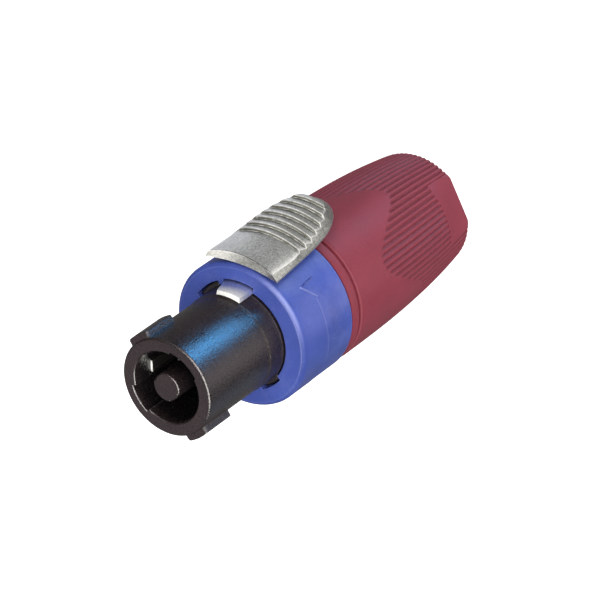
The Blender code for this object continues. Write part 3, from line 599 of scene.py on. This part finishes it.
def bootSurface(s):
    columns = s["ribs"] * s["perRib"]
    angles = -180 + 360 * np.arange(columns) / columns
    one = np.ones_like(angles)
    neck, groove, front = s["neck"], s["groove"], s["front"]
    rows = [(r * one, z) for r, z in (
        (s["bore"], front), (neck - 0.25, front), (neck - 0.07, front - 0.07), (neck, front - 0.25),
        (neck, front - 1.0), (neck, s["grooveFront"] + 0.3), (neck - 0.05, s["grooveFront"] + 0.12),
        (neck - 0.2, s["grooveFront"]), (groove, s["grooveFront"] - 0.08), (groove, s["shoulder"] + 0.08))]
    length = s["shoulder"] - s["rear"]
    roundOff = s["shoulderRound"]
    for t in np.linspace(0, math.pi / 2, 6):
        distance = roundOff * (1 - math.cos(t))
        rows.append((s["radius"] * one - roundOff * (1 - math.sin(t)), s["shoulder"] - distance))
    stops = fill([roundOff, length - s["gripTail"] - 0.1, length - s["gripTail"] + 0.15,
                  length - s["rearRound"]], s["step"])
    bend = np.sin(np.linspace(0.2, math.pi / 2, 8))
    stops = np.append(stops, length - s["rearRound"] + s["rearRound"] * bend)
    # The shoulder's edge gets a painted highlight line, and the ribs' valleys and the skin beside the
    # latch's tail get painted shade
    paintedLightMarks = [0.8 * one * (abs(s["shoulder"] - 0.15 - z) < 0.08) for r, z in rows]
    for d in stops[1:]:
        radius, valley = bootRadius(s, angles, d)
        rows.append((radius, s["shoulder"] - d))
        shade = 0.3 * band(angles, -14, 14, 14) * (1 - ramp(d, s["gripCorner"] - 3, s["gripCorner"] + 1))
        paintedLightMarks.append(-np.maximum(valley, shade))
    rear, hole = s["rear"], s["hole"]
    wall = rear + s["rearWall"]
    rows += [(r * one, z) for r, z in (
        (hole + 0.5, rear), (hole + 0.12, rear + 0.1), (hole, rear + 0.45), (hole, wall),
        (s["inside"][0][0], wall), *s["inside"], (s["bore"], s["boreEnd"]))]
    paintedLightMarks += [0 * one] * (len(rows) - len(paintedLightMarks))
    radius = np.stack([r for r, z in rows])
    height = np.array([z for r, z in rows], float)[:, None]
    numbers = gridNumbers(len(rows), columns, closeRows=True, closeColumns=True)
    return (roundPoints(radius, height, angles).reshape(-1, 3), gridQuads(numbers)), np.concatenate(paintedLightMarks)


# Latch: thumb plate, tongue and foot, and the spring behind it
latchSettings = {
    "front": -19.98, "lean": 0.44, "topLength": 21.2, "apron": 1.2, "roundStart": 6.0, "halfWidth": 7.2,
    "flank": 0.78, "taper": 0.036, "seat": 13.45, "rise": 0.09, "seatRadius": 27.0, "archRadius": 14.0,
    "height": 2.04, "field": 8.0, "lastTread": 2.1, "tailFall": 1.0, "teeth": 7, "step": 0.46, "fall": 0.24,
    "toothLean": 0.24, "footHeight": 0.32, "cutback": 0.9, "across": 48,
}
tongueSettings = {
    "left": 13.9, "flare": 6.0, "right": -13.2, "lowRight": -15.4, "hidden": 15.0,
    "wearAndSheen": 0.98, "noseWearAndSheen": 0.3, "noseSpan": (-19.8, -17.2), "sideWearAndSheen": -0.03,
    "profile": ((9.8, -26.5), (9.8, -21.0), (9.8, -20.6), (9.79, -19.5), (9.74, -17.9), (9.68, -17.02),
                (9.64, -16.96), (9.58, -16.92), (9.2, -16.66), (9.15, -16.61), (9.1, -16.6), (9.1, -16.8),
                (9.1, -17.5), (9.1, -18.0), (9.1, -19.0), (9.1, -20.6), (9.1, -21.0), (9.1, -26.5)),
}
footSettings = {"halfWidth": 2.3, "inner": 9.45, "outer": 14.5, "front": -24.0, "back": -26.5}
springSettings = {"radius": 0.9, "wire": 0.2, "turns": 5, "offset": 11.2, "front": -26.8, "back": -33.5,
                  "pressed": -30.6}


# The thumb plate is a row of closed rings behind each other. The top of a ring is a parabola across, at
# a height that climbs in saw teeth; its width is the root of one less a power of the distance towards
# the tail
def plateRings(s):
    pitch = (s["topLength"] - s["field"] - s["lastTread"]) / (s["teeth"] - 1)
    starts = s["field"] + pitch * np.arange(s["teeth"])
    stops = list(fill([0, s["field"]], 0.5)) + [0.04, 0.12, 0.2, 0.26]
    for start in starts:
        stops += list(start + np.array([-0.12, -0.04, 0, 0.12, 0.2, 0.24, 0.28, 0.38, 0.46]))
        stops += list(start + s["toothLean"] + (pitch - s["toothLean"]) * np.array([0.25, 0.5, 0.75]))
    last = starts[-1] + s["toothLean"]
    stops = [d for d in stops if d <= last] + list(last + (s["topLength"] - last) * np.sin(
        np.linspace(0.12, math.pi / 2 * 0.98, 16)))
    distance = np.unique(np.round(stops, 5))[:, None]

    behind = distance - s["field"]
    tooth = np.clip(np.floor(behind / pitch + 1e-6), 0, s["teeth"] - 1)
    past = behind - tooth * pitch
    run = np.maximum(past - s["toothLean"], 0) / (pitch - s["toothLean"])
    share = np.minimum(run, 1)
    rise = np.where(past < s["toothLean"], s["step"] * past / s["toothLean"], s["step"] * (1 - share))
    rise = np.where(behind <= 0, 0, rise)
    gain = s["step"] - s["fall"]
    drop = np.where(tooth == s["teeth"] - 1, np.maximum(run - 0.45, 0), 0)
    climb = np.where(behind <= 0, 0, tooth * gain + gain * share)
    level = s["seat"] + s["height"] + climb - s["tailFall"] * drop ** 2

    def rounded(width, along, end, power):
        t = np.clip((along - s["roundStart"]) / (end - s["roundStart"]), 0, 1)
        return width * np.sqrt(1 - t ** power)

    edge = rounded(s["halfWidth"] - s["flank"], distance, s["topLength"], 2.5)
    inset = 0.25 * ramp(behind, -1.8, -0.2) * (behind < 0.01)
    edge = edge - s["cutback"] * rise * np.minimum(edge / 3, 1) - inset
    across = np.linspace(-1, 1, s["across"] + 1)[None, :]
    topX = edge * across
    topY = topX ** 2 / (2 * s["archRadius"]) - level - rise
    topZ = s["front"] - distance + 0 * across
    length = s["topLength"] + s["apron"]
    stretch = (length - s["roundStart"]) / (s["topLength"] - s["roundStart"])
    below = distance + (stretch - 1) * np.maximum(distance - s["roundStart"], 0)
    half = rounded(s["halfWidth"] - s["taper"] * below, below, length, 3.65)
    lowX = -half * across
    lowY = lowX ** 2 / (2 * s["seatRadius"]) - s["seat"] - s["rise"] * below
    lowZ = s["front"] - s["lean"] - below + 0 * across
    # Painted highlights on the lips, partly wear, count as 1; painted shade at the feet of the teeth and
    # along the top's front edge counts as -1, and the top's side edges get a painted highlight
    lip = np.clip(1 - np.abs(past - s["toothLean"] - 0.08) / 0.14, 0, 1) * (behind > -0.01)
    paintedShade = np.clip(1.9 - np.abs(past - 0.08) / 0.1, 0, 1) + np.clip(1 - np.abs(past - pitch) / 0.22, 0, 1)
    paintedLightAndWear = np.clip(0.7 * lip - paintedShade * (behind > -0.3), -1, 1) + 0 * across
    paintedLightAndWear = paintedLightAndWear - 0.9 * ((distance > 0.02) & (distance < 0.23))
    rim = np.abs(across) ** 16 * (distance > 0.23) * (distance < s["topLength"] - 2.0)
    paintedLightAndWear = np.clip(paintedLightAndWear * (np.abs(across) < 0.97) + rim, -1, 1)
    top, low = (np.stack(np.broadcast_arrays(*part), axis=-1)
                for part in ((topX, topY, topZ), (lowX, lowY, lowZ)))
    # Each flank has a point close under the top's edge, which keeps the edge's painted highlight off it,
    # and an upright foot
    ends = ((-1, 0), (0, -1))
    under = [0.9 * top[:, [a]] + 0.1 * low[:, [b]] for a, b in ends]
    stand = [low[:, [b]] * (1, 1, 0.77) + top[:, [a]] * (0, 0, 0.23) - (0, s["footHeight"], 0)
             for a, b in ends]
    plain = np.zeros((len(distance), 2))
    return (np.hstack([top, under[0], stand[0], low, stand[1], under[1]]),
            np.hstack([paintedLightAndWear, plain, 0 * lowX, plain]))


# The tongue is one profile of radius and height, spread over the angles between its two sides; its left
# side flares on the way back to the housing, and its right side leans
def tongueRings(s):
    radius, height = np.array(s["profile"]).T
    left = s["left"] + s["flare"] * np.clip((-17 - height) / 3.5, 0, 1)
    left = np.where(height < -20.9, s["hidden"], left)
    right = s["lowRight"] + (s["right"] - s["lowRight"]) * np.clip((radius - 9.1) / 0.5, 0, 1)
    share = np.linspace(0, 1, 21)[:, None]
    return roundPoints(radius[None, :], height[None, :], right + (left - right) * share)


# The foot is a block whose rings run backwards
def footRings(s):
    x, low, high = s["halfWidth"], s["inner"], s["outer"]
    ring = np.array([(-x, -high), (x, -high), (x, -low), (-x, -low)])
    return np.stack([np.column_stack([ring, np.full(4, z)]) for z in (s["front"], s["back"])])


# The spring is a round wire along a helix behind the foot
def springRings(s):
    turn = np.linspace(0, 2 * math.pi * s["turns"], 24 * s["turns"] + 1)[:, None]
    around = np.linspace(0, 2 * math.pi, 10, endpoint=False)
    level = np.linspace(s["front"] - s["wire"], s["back"] + s["wire"], turn.size)[:, None]
    reach = s["radius"] + s["wire"] * np.cos(around)
    return np.stack([reach * np.cos(turn), reach * np.sin(turn) - s["offset"],
                     level + s["wire"] * np.sin(around)], axis=-1)


# Shader groups that the finishes share
def startGroup(name, inputs, outputs):
    group = bpy.data.node_groups.new(name, "ShaderNodeTree")
    for label, value in inputs.items():
        kind = "NodeSocketColor" if isinstance(value, tuple) else "NodeSocketFloat"
        socket = group.interface.new_socket(label, in_out="INPUT", socket_type=kind)
        socket.default_value = (*value, 1) if isinstance(value, tuple) else value
    for label, kind in outputs.items():
        group.interface.new_socket(label, in_out="OUTPUT", socket_type=kind)
    return group, group.nodes.new("NodeGroupInput"), group.nodes.new("NodeGroupOutput")


def addNode(tree, kind, settings=None, **inputs):
    node = tree.nodes.new("ShaderNode" + kind)
    for key, value in (settings or {}).items():
        setattr(node, key, value)
    for label, value in inputs.items():
        socket = node.inputs[int(label[1:]) if label[0] == "_" else label.replace("_", " ")]
        if isinstance(value, bpy.types.NodeSocket):
            tree.links.new(value, socket)
        else:
            socket.default_value = value
    return node


def maths(tree, operation, *values, clamp=False):
    inputs = {"_" + str(i): value for i, value in enumerate(values)}
    return addNode(tree, "Math", {"operation": operation, "use_clamp": clamp}, **inputs).outputs[0]


# 0 at low and 1 at high, straight between them
def remap(tree, value, low, high):
    return addNode(tree, "MapRange", None, Value=value, From_Min=low, From_Max=high).outputs[0]


def mixColours(tree, factor, first, second, blend="MIX"):
    node = tree.nodes.new("ShaderNodeMix")
    node.data_type = "RGBA"
    node.blend_type = blend
    for socket, value in ((node.inputs[0], factor), (node.inputs[6], first), (node.inputs[7], second)):
        if isinstance(value, bpy.types.NodeSocket):
            tree.links.new(value, socket)
        else:
            socket.default_value = value
    return node.outputs[2]


def noise(tree, vector, scale, detail=3.0, roughness=0.5):
    node = addNode(tree, "TexNoise", None, Vector=vector, Scale=scale, Detail=detail, Roughness=roughness)
    return node.outputs["Fac"]


# Skin of a moulded or cast piece, all from Object coordinates: clouds and grain mixed as tone, the grain
# alone, a few specks, and hairline scratches along the level lines of a stretched noise
def mouldedSkin():
    group, source, sink = startGroup(
        "mouldedSkin", {"Grain Scale": 3000.0, "Cloud Scale": 160.0, "Mottle": 0.5},
        {label: "NodeSocketFloat" for label in ("Tone", "Grain", "Speck", "Scratch")})
    place = group.nodes.new("ShaderNodeTexCoord").outputs["Object"]
    cloud = noise(group, place, source.outputs["Cloud Scale"], 4.0, 0.6)
    grain = noise(group, place, source.outputs["Grain Scale"], 2.0, 0.65)
    excess = maths(group, "SUBTRACT", grain, cloud)
    tone = remap(group, maths(group, "MULTIPLY_ADD", excess, source.outputs["Mottle"], cloud), 0.34, 0.66)
    speck = remap(group, noise(group, place, 1400.0, 1.0, 0.4), 0.70, 0.76)
    drawn = addNode(group, "Mapping", None, Vector=place, Rotation=(0.5, 0.3, 0.4),
                    Scale=(1.0, 1.0, 0.12)).outputs[0]
    level = maths(group, "ABSOLUTE", maths(group, "SUBTRACT", noise(group, drawn, 420.0, 1.0, 0.4), 0.5))
    line = remap(group, level, 0.012, 0.002)
    scratch = maths(group, "MULTIPLY", line, remap(group, noise(group, place, 220.0, 3.0), 0.52, 0.62))
    for label, value in (("Tone", tone), ("Grain", grain), ("Speck", speck), ("Scratch", scratch)):
        group.links.new(value, sink.inputs[label])
    return group


# Worn edges, which also serve as painted edge highlights: how far the bevelled normal leans from the plain
# one, broken up by noise
def edgeWear():
    group, source, sink = startGroup(
        "edgeWear", {"Width": 0.00025, "Amount": 1.0}, {"Edge": "NodeSocketFloat"})
    place = group.nodes.new("ShaderNodeTexCoord").outputs["Object"]
    soft = addNode(group, "Bevel", {"samples": 4}, Radius=source.outputs["Width"]).outputs[0]
    plain = group.nodes.new("ShaderNodeNewGeometry").outputs["Normal"]
    lean = addNode(group, "VectorMath", {"operation": "DOT_PRODUCT"}, _0=soft, _1=plain).outputs["Value"]
    edge = remap(group, lean, 0.995, 0.86)
    patch = remap(group, noise(group, place, 900.0, 3.0), 0.3, 0.6)
    edge = maths(group, "MULTIPLY", maths(group, "MULTIPLY", edge, patch), source.outputs["Amount"])
    group.links.new(edge, sink.inputs["Edge"])
    return group


def placeGroup(tree, group, **values):
    node = tree.nodes.new("ShaderNodeGroup")
    node.node_tree = group
    for label, value in values.items():
        node.inputs[label.replace("_", " ")].default_value = value
    return node


skinGroup = mouldedSkin()
wearAndSheenGroup = edgeWear()

# The darkest colour of a finish is for painted shade, and its worn colour also serves painted highlights
plasticSettings = {
    "housingBlue": {
        "colour": (0.064, 0.106, 0.455), "wornAndHighlight": (0.32, 0.36, 0.72), "paintedShadeColour": (0.03, 0.05, 0.24),
        "roughness": 0.40, "spread": 0.16, "grain": 0.00002, "grainScale": 3400.0, "mottle": 0.4,
        "wearAndSheen": 0.55, "scratch": 0.1, "speck": 0.06, "scuff": 0.24, "specular": 0.3},
    "insertBlack": {
        "colour": (0.023, 0.0135, 0.0145), "wornAndHighlight": (0.30, 0.28, 0.28), "paintedShadeColour": (0.003, 0.002, 0.003),
        "roughness": 0.31, "spread": 0.8, "grain": 0.00011, "grainScale": 3300.0, "mottle": 0.75,
        "wearAndSheen": 0.3, "scratch": 0.07, "speck": 0.08, "specular": 0.4},
    "bootRed": {
        "colour": (0.30, 0.043, 0.066), "wornAndHighlight": (0.46, 0.13, 0.17), "paintedShadeColour": (0.16, 0.021, 0.033),
        "roughness": 0.48, "spread": 0.13, "grain": 0.00003, "grainScale": 3200.0, "mottle": 0.5,
        "wearAndSheen": 0.5, "scratch": 0.05, "speck": 0.05, "specular": 0.25},
    "chuckPale": {
        "colour": (0.60, 0.60, 0.57), "wornAndHighlight": (0.7, 0.7, 0.68), "roughness": 0.5, "spread": 0.1,
        "grain": 0.00003, "grainScale": 3000.0, "mottle": 0.5, "wearAndSheen": 0.3, "scratch": 0.1,
        "speck": 0.1, "specular": 0.5},
}
metalSettings = {
    "latchNickel": {
        "colour": (0.45, 0.45, 0.43), "wornAndHighlight": (0.95, 0.94, 0.91), "paintedShadeColour": (0.05, 0.05, 0.035),
        "roughness": 0.36, "spread": 0.42, "grain": 0.00005, "grainScale": 3600.0, "mottle": 0.8,
        "wearAndSheen": 0.9, "scratch": 0.2, "speck": 0.3},
    # A darker copy of the contact metal: painted shade for the post's contacts down in the socket
    "contactShaded": {
        "colour": (0.22, 0.20, 0.17), "wornAndHighlight": (0.5, 0.48, 0.42), "roughness": 0.45, "spread": 0.2,
        "grain": 0.00001, "grainScale": 3000.0, "mottle": 0.5, "wearAndSheen": 0.2, "scratch": 0.1, "speck": 0.1},
    "contactSilver": {
        "colour": (0.84, 0.82, 0.77), "wornAndHighlight": (0.9, 0.88, 0.8), "socketShade": (0.06, 0.055, 0.05),
        "shadeFadeSpan": (-0.00475, -0.0046), "roughness": 0.40, "spread": 0.12, "grain": 0.00001,
        "grainScale": 3000.0, "mottle": 0.5, "wearAndSheen": 0.4, "scratch": 0.2, "speck": 0.1},
    "clampBrass": {
        "colour": (0.66, 0.48, 0.21), "wornAndHighlight": (0.85, 0.68, 0.36), "roughness": 0.3, "spread": 0.14,
        "grain": 0.00001, "grainScale": 3000.0, "mottle": 0.4, "wearAndSheen": 0.5, "scratch": 0.3, "speck": 0.1},
    "platedSteel": {
        "colour": (0.58, 0.58, 0.59), "wornAndHighlight": (0.8, 0.8, 0.8), "roughness": 0.28, "spread": 0.12,
        "grain": 0.00001, "grainScale": 3000.0, "mottle": 0.4, "wearAndSheen": 0.5, "scratch": 0.3, "speck": 0.1},
    "springSteel": {
        "colour": (0.5, 0.5, 0.52), "wornAndHighlight": (0.7, 0.7, 0.7), "roughness": 0.3, "spread": 0.1,
        "grain": 0.00001, "grainScale": 3000.0, "mottle": 0.4, "wearAndSheen": 0.2, "scratch": 0.1, "speck": 0.1},
}


# One finish for plastics and metals: the base colour between a darker and a lighter tone, lightened at worn
# edges that double as painted edge highlights, specks and scratches, darkened as painted shade where the
# piece's painted light attribute is below zero, and lightened as painted highlight and wear above zero;
# above 1 also rougher
def finish(name, s, metallic):
    material = bpy.data.materials.new(name)
    material.use_nodes = True
    tree = material.node_tree
    shader = tree.nodes["Principled BSDF"]
    shader.inputs["Metallic"].default_value = metallic
    if "specular" in s:
        shader.inputs["Specular IOR Level"].default_value = s["specular"]
    skin = placeGroup(tree, skinGroup, Mottle=s["mottle"], Grain_Scale=s["grainScale"])
    wearAndSheen = placeGroup(tree, wearAndSheenGroup, Amount=s["wearAndSheen"])
    dark, light = ((*(min(c * (1 + way * s["spread"]), 1) for c in s["colour"]), 1) for way in (-1, 1))
    wornAndHighlight = (*s["wornAndHighlight"], 1)
    tone = mixColours(tree, skin.outputs["Tone"], dark, light)
    if "scuff" in s:
        place = tree.nodes.new("ShaderNodeTexCoord").outputs["Object"]
        scuff = remap(tree, noise(tree, place, 95.0, 5.0, 0.65), 0.5, 0.75)
        tone = mixColours(tree, maths(tree, "MULTIPLY", scuff, s["scuff"]), tone, wornAndHighlight)
    if "paintedShadeColour" in s:
        # Painted shade where the attribute is below zero, painted highlight and wear where it is above zero
        paintedLightAndWear = addNode(tree, "Attribute", {"attribute_name": "paintedLightAndWear"}).outputs["Fac"]
        paintedShade = maths(tree, "MULTIPLY", paintedLightAndWear, -0.9, clamp=True)
        tone = mixColours(tree, paintedShade, tone, (*s["paintedShadeColour"], 1))
        bright = maths(tree, "MULTIPLY", paintedLightAndWear, 0.9, clamp=True)
        uneven = maths(tree, "MULTIPLY_ADD", skin.outputs["Tone"], 0.35, 0.65)
        tone = mixColours(tree, maths(tree, "MULTIPLY", bright, uneven), tone, wornAndHighlight)
    tone = mixColours(tree, wearAndSheen.outputs["Edge"], tone, wornAndHighlight)
    if "socketShade" in s:
        # Painted shade: the contact is darkened deeper in the socket, and only the tip keeps the metal's
        # own colour
        place = tree.nodes.new("ShaderNodeTexCoord").outputs["Object"]
        depth = addNode(tree, "SeparateXYZ", None, Vector=place).outputs["Z"]
        tone = mixColours(tree, remap(tree, depth, *s["shadeFadeSpan"]), (*s["socketShade"], 1), tone)
    marks = maths(tree, "MULTIPLY_ADD", skin.outputs["Scratch"], s["scratch"],
                  maths(tree, "MULTIPLY", skin.outputs["Speck"], s["speck"]))
    tone = mixColours(tree, marks, tone, wornAndHighlight)
    tree.links.new(tone, shader.inputs["Base Color"])
    gloss = maths(tree, "MULTIPLY_ADD", skin.outputs["Tone"], 0.12, s["roughness"] - 0.06)
    gloss = maths(tree, "MULTIPLY_ADD", skin.outputs["Scratch"], 0.03, gloss)
    if "paintedShadeColour" in s:
        rubbedAndLit = maths(tree, "SUBTRACT", paintedLightAndWear, 1.0, clamp=True)
        gloss = maths(tree, "MULTIPLY_ADD", rubbedAndLit, 0.8, gloss)
    tree.links.new(gloss, shader.inputs["Roughness"])
    bump = addNode(tree, "Bump", None, Height=skin.outputs["Grain"], Distance=s["grain"], Strength=0.6)
    tree.links.new(bump.outputs["Normal"], shader.inputs["Normal"])
    return material


finishes = {name: finish(name, s, 0) for name, s in plasticSettings.items()}
finishes.update({name: finish(name, s, 1) for name, s in metalSettings.items()})
print("finishes ready")

insertPart, marks = insertSurface(insertSettings)
insertParts = [insertPart]
insertParts += [dividerSlab(insertSettings, degrees) for degrees in insertSettings["dividers"]]
marks = np.append(marks, np.zeros(sum(len(points) for points, quads in insertParts[1:])))
addPiece("insertBody", insertParts, finishes["insertBlack"], "plug", "insert", marks=marks)
housingPart, marks = housingSurface(housingSettings)
addPiece("housingShell", [housingPart], finishes["housingBlue"], "plug", "housing",
         marks=marks)
bootPart, paintedLightMarks = bootSurface(bootSettings)
addPiece("bootGrip", [bootPart], finishes["bootRed"], "plug", "boot", marks=paintedLightMarks)
plate, paintedLightAndWear = plateRings(latchSettings)
latchParts = [ringSkin(rings) for rings in (plate, tongueRings(tongueSettings), footRings(footSettings))]
marks = np.zeros(sum(len(points) for points, quads in latchParts))
marks[:paintedLightAndWear.size] = paintedLightAndWear.ravel()
# The tongue is painted bright, a painted highlight over worn metal, and rougher towards its front and its
# right end
s = tongueSettings
x, y, z = latchParts[1][0].T
rubbedAndLit = s["wearAndSheen"] + s["noseWearAndSheen"] * ramp(z, *s["noseSpan"]) + s["sideWearAndSheen"] * x
marks[paintedLightAndWear.size:paintedLightAndWear.size + len(z)] = rubbedAndLit
addPiece("latchPlate", latchParts, finishes["latchNickel"], "latch", "latch_slider",
         crease=28, marks=marks)

# The spring is a fixed coil in its pocket behind the latch's foot, with a mesh of its own
s = springSettings
spring = addPiece("latchSpring", [ringSkin(springRings(s))], finishes["springSteel"], "plug",
                  "latch_spring")
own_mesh(spring)

wearing = {"cable_chuck": "chuckPale"}
wearing.update({"contact_wall_" + str(i): "contactSilver" for i in (1, 2)})
wearing.update({"contact_post_" + str(i): "contactShaded" for i in (1, 2)})
wearing.update({"terminal_clamp_" + str(i): "clampBrass" for i in range(1, 5)})
wearing.update({"terminal_screw_" + str(i): "platedSteel" for i in range(1, 5)})
for node, finishName in wearing.items():
    for slot in nodes[node].material_slots:
        slot.material = finishes[finishName]
print("carried nodes dressed")

for name in glossOnly:
    lamps[name].visible_diffuse = False
for name, pieces in reachSettings.items():
    reached = bpy.data.collections.new(name + "Reach")
    for piece in pieces:
        reached.objects.link(bpy.data.objects[piece])
    lamps[name].light_linking.receiver_collection = reached
